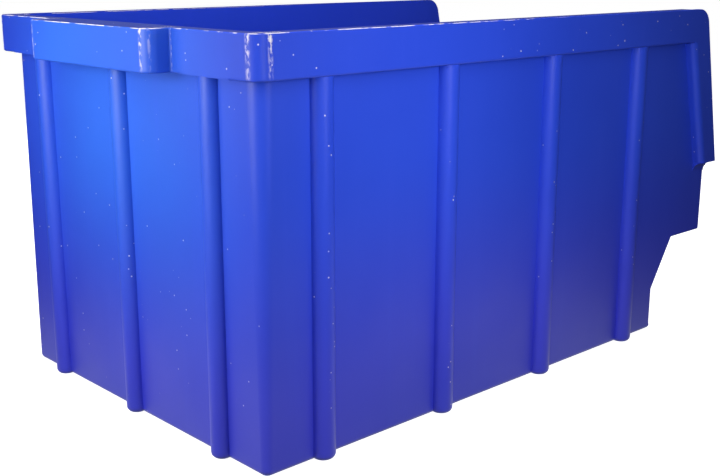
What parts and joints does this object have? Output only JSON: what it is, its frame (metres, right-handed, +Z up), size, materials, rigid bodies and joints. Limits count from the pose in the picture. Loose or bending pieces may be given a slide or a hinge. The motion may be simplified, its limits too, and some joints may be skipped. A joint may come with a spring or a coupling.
{
  "type": "stackable storage bin",
  "caption": "Open-top plastic stacking bin with a stepped hopper front, cut-away mouth, fluted walls, a deep flanged rim and a hanging lip at the rear.",
  "frame": {"origin": "middle of the bin's bounding box, on the surface that the bin stands on", "axes": "+Z up, -Y towards the open hopper front, +Y towards the rear wall and its hanging lip, +X to the right of a person who faces the front"},
  "size_m": [0.21, 0.35, 0.182],
  "materials": {
    "bin_plastic": "satin blue moulded polypropylene"
  },
  "bodies": {
    "root": {"card_stop": "bin_plastic", "floor_plate": "bin_plastic", "front_kick_wall": "bin_plastic", "front_ledge": "bin_plastic", "front_lip": "bin_plastic", "front_slope": "bin_plastic", "front_wall": "bin_plastic", "hanging_lip": "bin_plastic", "left_card_rail": "bin_plastic", "left_corner_post": "bin_plastic", "left_hopper_cheek": "bin_plastic", "left_mouth_flange": "bin_plastic", "left_rear_rim": "bin_plastic", "left_rib_1": "bin_plastic", "left_rib_2": "bin_plastic", "left_rib_3": "bin_plastic", "left_rib_4": "bin_plastic", "left_rim": "bin_plastic", "left_rim_corner": "bin_plastic", "left_wall": "bin_plastic", "rear_rib_1": "bin_plastic", "rear_rib_2": "bin_plastic", "rear_rib_3": "bin_plastic", "rear_wall": "bin_plastic", "right_card_rail": "bin_plastic", "right_corner_post": "bin_plastic", "right_hopper_cheek": "bin_plastic", "right_mouth_flange": "bin_plastic", "right_rear_rim": "bin_plastic", "right_rib_1": "bin_plastic", "right_rib_2": "bin_plastic", "right_rib_3": "bin_plastic", "right_rib_4": "bin_plastic", "right_rim": "bin_plastic", "right_rim_corner": "bin_plastic", "right_wall": "bin_plastic"}
  },
  "joints": []
}
